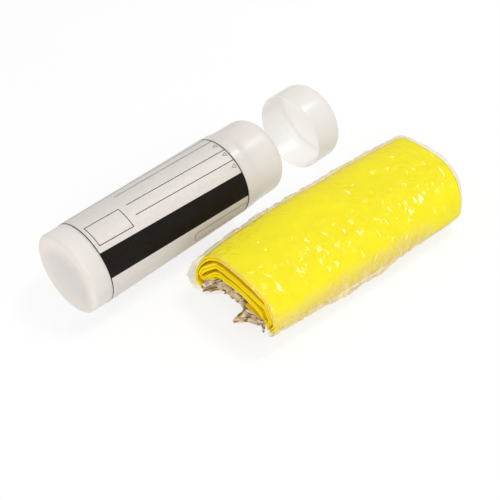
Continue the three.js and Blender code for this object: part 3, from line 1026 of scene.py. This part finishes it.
def tail_place(row, column, shake):
    """Place of the crumpled tail: out of the hollow, over the lower turns and down, with one tip."""
    side = 2 * column - 1
    tucked = max(0, 1 - row / TAIL_TUCKED)
    outside = ease((row - TAIL_TURN) / (1 - TAIL_TURN))
    tip = math.exp(-((side - TAIL_TIP_SIDE) / TAIL_TIP_SPAN) ** 2) * outside * outside
    along = TAIL_INSIDE * tucked - TAIL_OUT * outside - TAIL_TIP_OUT * tip
    top = TAIL_TOP + TAIL_STEP * ease((side + 0.45) / 0.6) - TAIL_STOOP * ease((side - 0.25) / 0.5)
    up = top + (TAIL_LOW - top) * outside + TAIL_TIP_RISE * tip - TAIL_INSIDE_DROP * tucked
    along += SHARD_HEIGHT * shake.uniform(-0.5, 0.5)
    up += SHARD_HEIGHT * shake.uniform(-0.3, 0.3)
    return roll_place(along, TAIL_HALF_WIDTH * side, max(TAIL_LIFT - ROLL_MIDDLE, up))


def crumpled_film():
    """The film crumpled into one wad, each shard a random tone: grey-brown painted shade, pale painted
    light.
    """
    made, nodes, links, shader = new_material("crumpled_film")
    shard_light_and_shade = attribute(nodes, "shard_light_and_shade")
    # Painted light and shade: each shard's random tone runs from a dark grey-brown shade to a pale lit
    # tone.
    stops = [
        (0, (0.14, 0.076, 0.03, 1)),
        (0.3, (0.4, 0.255, 0.115, 1)),
        (0.6, (0.69, 0.51, 0.28, 1)),
        (1, (0.95, 0.82, 0.56, 1)),
    ]
    links.new(ramp(nodes, links, shard_light_and_shade, stops), shader.inputs["Base Color"])
    links.new(spread(nodes, links, shard_light_and_shade, 0.2, 0.1), shader.inputs["Roughness"])
    shader.inputs["Specular IOR Level"].default_value = 0.8
    # Painted shade: what shows through the wad is tinted brown.
    through = nodes.new("ShaderNodeBsdfTransparent")
    through.inputs["Color"].default_value = (0.8, 0.7, 0.54, 1)
    cover = spread(nodes, links, shard_light_and_shade, 0.95, 0.7)
    whole = mixed(nodes, links, cover, through.outputs["BSDF"], shader.outputs["BSDF"])
    links.new(whole, nodes["Material Output"].inputs["Surface"])
    return made


tail = shaken_sheet("film_tail_sheet", TAIL_ROWS, TAIL_COLUMNS, tail_place)
# Random tone per shard, for its painted light and shade.
tones = random.Random(3)
shard_light_and_shade = tail.data.attributes.new("shard_light_and_shade", "FLOAT", "FACE")
shard_light_and_shade.data.foreach_set("value", [tones.random() for _ in tail.data.polygons])
tail.data.materials.append(crumpled_film())
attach(tail, "cloth")
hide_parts("film_tail")


# Floor, light and camera: a white studio floor, a light from the right and above, a broad soft
# one from the left, and a camera that looks down on the set from the base of the tube.
LOOK_AT = Vector((-14.77 * MM, 8.55 * MM, 0))
CAMERA_AZIMUTH = math.radians(-44.86)
CAMERA_ELEVATION = math.radians(44.51)
CAMERA_DISTANCE = 863.75 * MM
CAMERA_LENS = 76.97
FLOOR_REACH = 40
FLOOR_DROP = 0.2 * MM
FLOOR_WHITENESS = 0.75
SKY_STRENGTH = 0.65

floor_corners = [(x * FLOOR_REACH, y * FLOOR_REACH, 0) for x, y in ((-1, -1), (1, -1), (1, 1), (-1, 1))]
floor = mesh_object("studio_floor", floor_corners, [(0, 1, 2, 3)])
floor_paint, nodes, links, shader = new_material("floor_paint")
shader.inputs["Base Color"].default_value = (0.95, 0.95, 0.95, 1)
shader.inputs["Roughness"].default_value = 0.9
shader.inputs["Specular IOR Level"].default_value = 0.0
path = nodes.new("ShaderNodeLightPath")
mirrored = larger(nodes, links, path.outputs["Is Glossy Ray"], path.outputs["Is Transmission Ray"])
seen = larger(nodes, links, path.outputs["Is Camera Ray"], mirrored)
white = nodes.new("ShaderNodeEmission")
white.inputs["Strength"].default_value = 1
whiteness = spread(nodes, links, seen, 0.0, FLOOR_WHITENESS)
whole = mixed(nodes, links, whiteness, shader.outputs["BSDF"], white.outputs["Emission"])
links.new(whole, nodes["Material Output"].inputs["Surface"])
floor.data.materials.append(floor_paint)
floor.location.z = -FLOOR_DROP


def area_light(name, direction, distance, size, watts, colour):
    """Square lamp that shines on the middle of the set from a direction."""
    lamp = bpy.data.lights.new(name, "AREA")
    lamp.shape = "SQUARE"
    lamp.size = size
    lamp.energy = watts
    lamp.color = colour
    made = bpy.data.objects.new(name, lamp)
    bpy.context.scene.collection.objects.link(made)
    towards = Vector(direction).normalized()
    made.location = towards * distance
    made.rotation_mode = "QUATERNION"
    made.rotation_quaternion = towards.to_track_quat("Z", "Y")


area_light(
    "key_light", direction=(0.5, -0.08, 0.85), distance=1.6,
    size=0.28, watts=7, colour=(1, 0.985, 0.97),
)
area_light(
    "left_light", direction=(-0.68, -0.62, 0.68), distance=1.7,
    size=0.7, watts=10.3, colour=(1, 0.99, 0.975),
)

world = bpy.data.worlds.new("studio")
bpy.context.scene.world = world
world.use_nodes = True
sky = world.node_tree.nodes["Background"]
sky.inputs["Color"].default_value = (1, 1, 1, 1)
sky.inputs["Strength"].default_value = SKY_STRENGTH

camera = bpy.data.objects.new("camera", bpy.data.cameras.new("camera"))
bpy.context.scene.collection.objects.link(camera)
camera.data.lens = CAMERA_LENS
camera.data.sensor_width = 36
back = Vector((
    math.sin(CAMERA_AZIMUTH) * math.cos(CAMERA_ELEVATION),
    -math.cos(CAMERA_AZIMUTH) * math.cos(CAMERA_ELEVATION),
    math.sin(CAMERA_ELEVATION),
))
camera.location = LOOK_AT + back * CAMERA_DISTANCE
camera.rotation_mode = "QUATERNION"
camera.rotation_quaternion = back.to_track_quat("Z", "Y")
bpy.context.scene.camera = camera
bpy.context.scene.view_settings.view_transform = "Standard"
